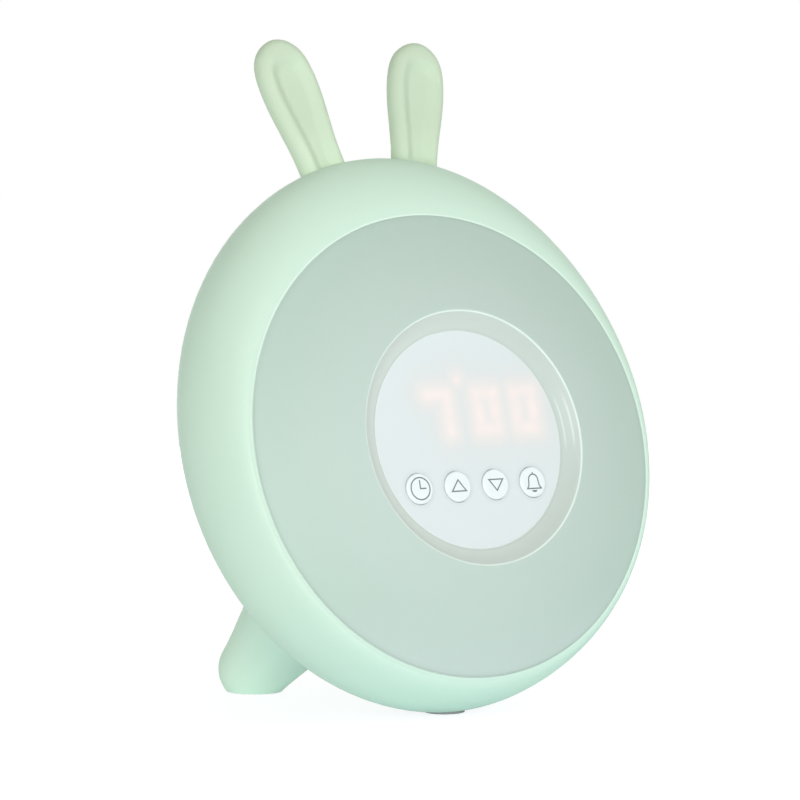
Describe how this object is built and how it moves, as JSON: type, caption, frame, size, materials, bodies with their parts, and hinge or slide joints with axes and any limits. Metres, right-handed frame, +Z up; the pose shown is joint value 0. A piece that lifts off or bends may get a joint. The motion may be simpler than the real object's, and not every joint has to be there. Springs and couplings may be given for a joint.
{
  "type": "kids alarm clock with night light",
  "caption": "Mint egg-shaped bedside alarm clock with soft ears, a domed night-light diffuser, a round digit window with push buttons, and two rear feet.",
  "frame": {"origin": "centre of the base pad's underside, on the surface the clock stands on", "axes": "+Z up, the leaning face looks towards -Y, +X to the right of someone facing it"},
  "size_m": [0.1494, 0.1011, 0.1965],
  "materials": {
    "mint_shell": "soft-touch matte mint ABS",
    "mint_silicone": "soft matt silicone, slightly yellower mint",
    "frosted_diffuser": "frosted translucent, pale grey-green",
    "white_window": "translucent milk white, satin",
    "button_white": "satin white",
    "control_grey": "satin grey-green",
    "pad_rubber": "matt grey rubber and foam",
    "inner_white": "satin white",
    "circuit_board": "green solder mask",
    "led_body": "phosphor yellow and white",
    "display_body": "dark face with pale segments",
    "component_black": "moulded black",
    "plunger_plastic": "moulded black",
    "connector_steel": "bright nickel",
    "screw_steel": "zinc-plated",
    "cell_foil": "matt foil pouch",
    "wiring": "PVC insulation and nylon plugs"
  },
  "bodies": {
    "housing": {"base_pad": "pad_rubber", "battery_cell": "cell_foil", "battery_lead": "wiring", "battery_tape": "pad_rubber", "board_parts": "component_black", "board_screws": "screw_steel", "body_shell": "mint_shell", "button_switches": "component_black", "cover_screws": "screw_steel", "digit_display": "display_body", "display_board": "circuit_board", "display_window": "white_window", "ear_clips": "inner_white", "foot_pads": "pad_rubber", "foot_screws": "screw_steel", "lamp_leds": "led_body", "lamp_switch": "component_black", "led_board": "circuit_board", "left_ear": "mint_silicone", "left_foot": "mint_shell", "light_baffle": "inner_white", "light_diffuser": "frosted_diffuser", "main_board": "circuit_board", "rear_cover": "mint_shell", "reflector": "inner_white", "ribbon_cable": "wiring", "right_ear": "mint_silicone", "right_foot": "mint_shell", "slide_switch": "component_black", "speaker_cone": "component_black", "speaker_frame": "component_black", "speaker_gasket": "pad_rubber", "speaker_lead": "wiring", "speaker_magnet": "connector_steel", "usb_socket": "connector_steel", "wire_plugs": "wiring"},
    "clock_button": {"clock_button": "button_white", "clock_plunger": "plunger_plastic"},
    "up_button": {"up_button": "button_white", "up_plunger": "plunger_plastic"},
    "down_button": {"down_button": "button_white", "down_plunger": "plunger_plastic"},
    "bell_button": {"bell_button": "button_white", "bell_plunger": "plunger_plastic"},
    "lamp_button": {"lamp_button": "button_white", "lamp_plunger": "plunger_plastic"},
    "power_switch": {"power_switch": "control_grey"}
  },
  "joints": [
    {"name": "clock_press", "type": "slide", "parent": "housing", "child": "clock_button", "axis": [0, 0.9659, -0.2588], "range_m": [0, 0.0006], "stiffness_N_per_m": 400, "springref_m": -0.0005},
    {"name": "up_press", "type": "slide", "parent": "housing", "child": "up_button", "axis": [0, 0.9659, -0.2588], "range_m": [0, 0.0006], "stiffness_N_per_m": 400, "springref_m": -0.0005},
    {"name": "down_press", "type": "slide", "parent": "housing", "child": "down_button", "axis": [0, 0.9659, -0.2588], "range_m": [0, 0.0006], "stiffness_N_per_m": 400, "springref_m": -0.0005},
    {"name": "bell_press", "type": "slide", "parent": "housing", "child": "bell_button", "axis": [0, 0.9659, -0.2588], "range_m": [0, 0.0006], "stiffness_N_per_m": 400, "springref_m": -0.0005},
    {"name": "lamp_press", "type": "slide", "parent": "housing", "child": "lamp_button", "axis": [0, -0.9659, 0.2588], "range_m": [0, 0.0006], "stiffness_N_per_m": 400, "springref_m": -0.0005},
    {"name": "power_slide", "type": "slide", "parent": "housing", "child": "power_switch", "axis": [1, 0, 0], "range_m": [0, 0.003]}
  ]
}
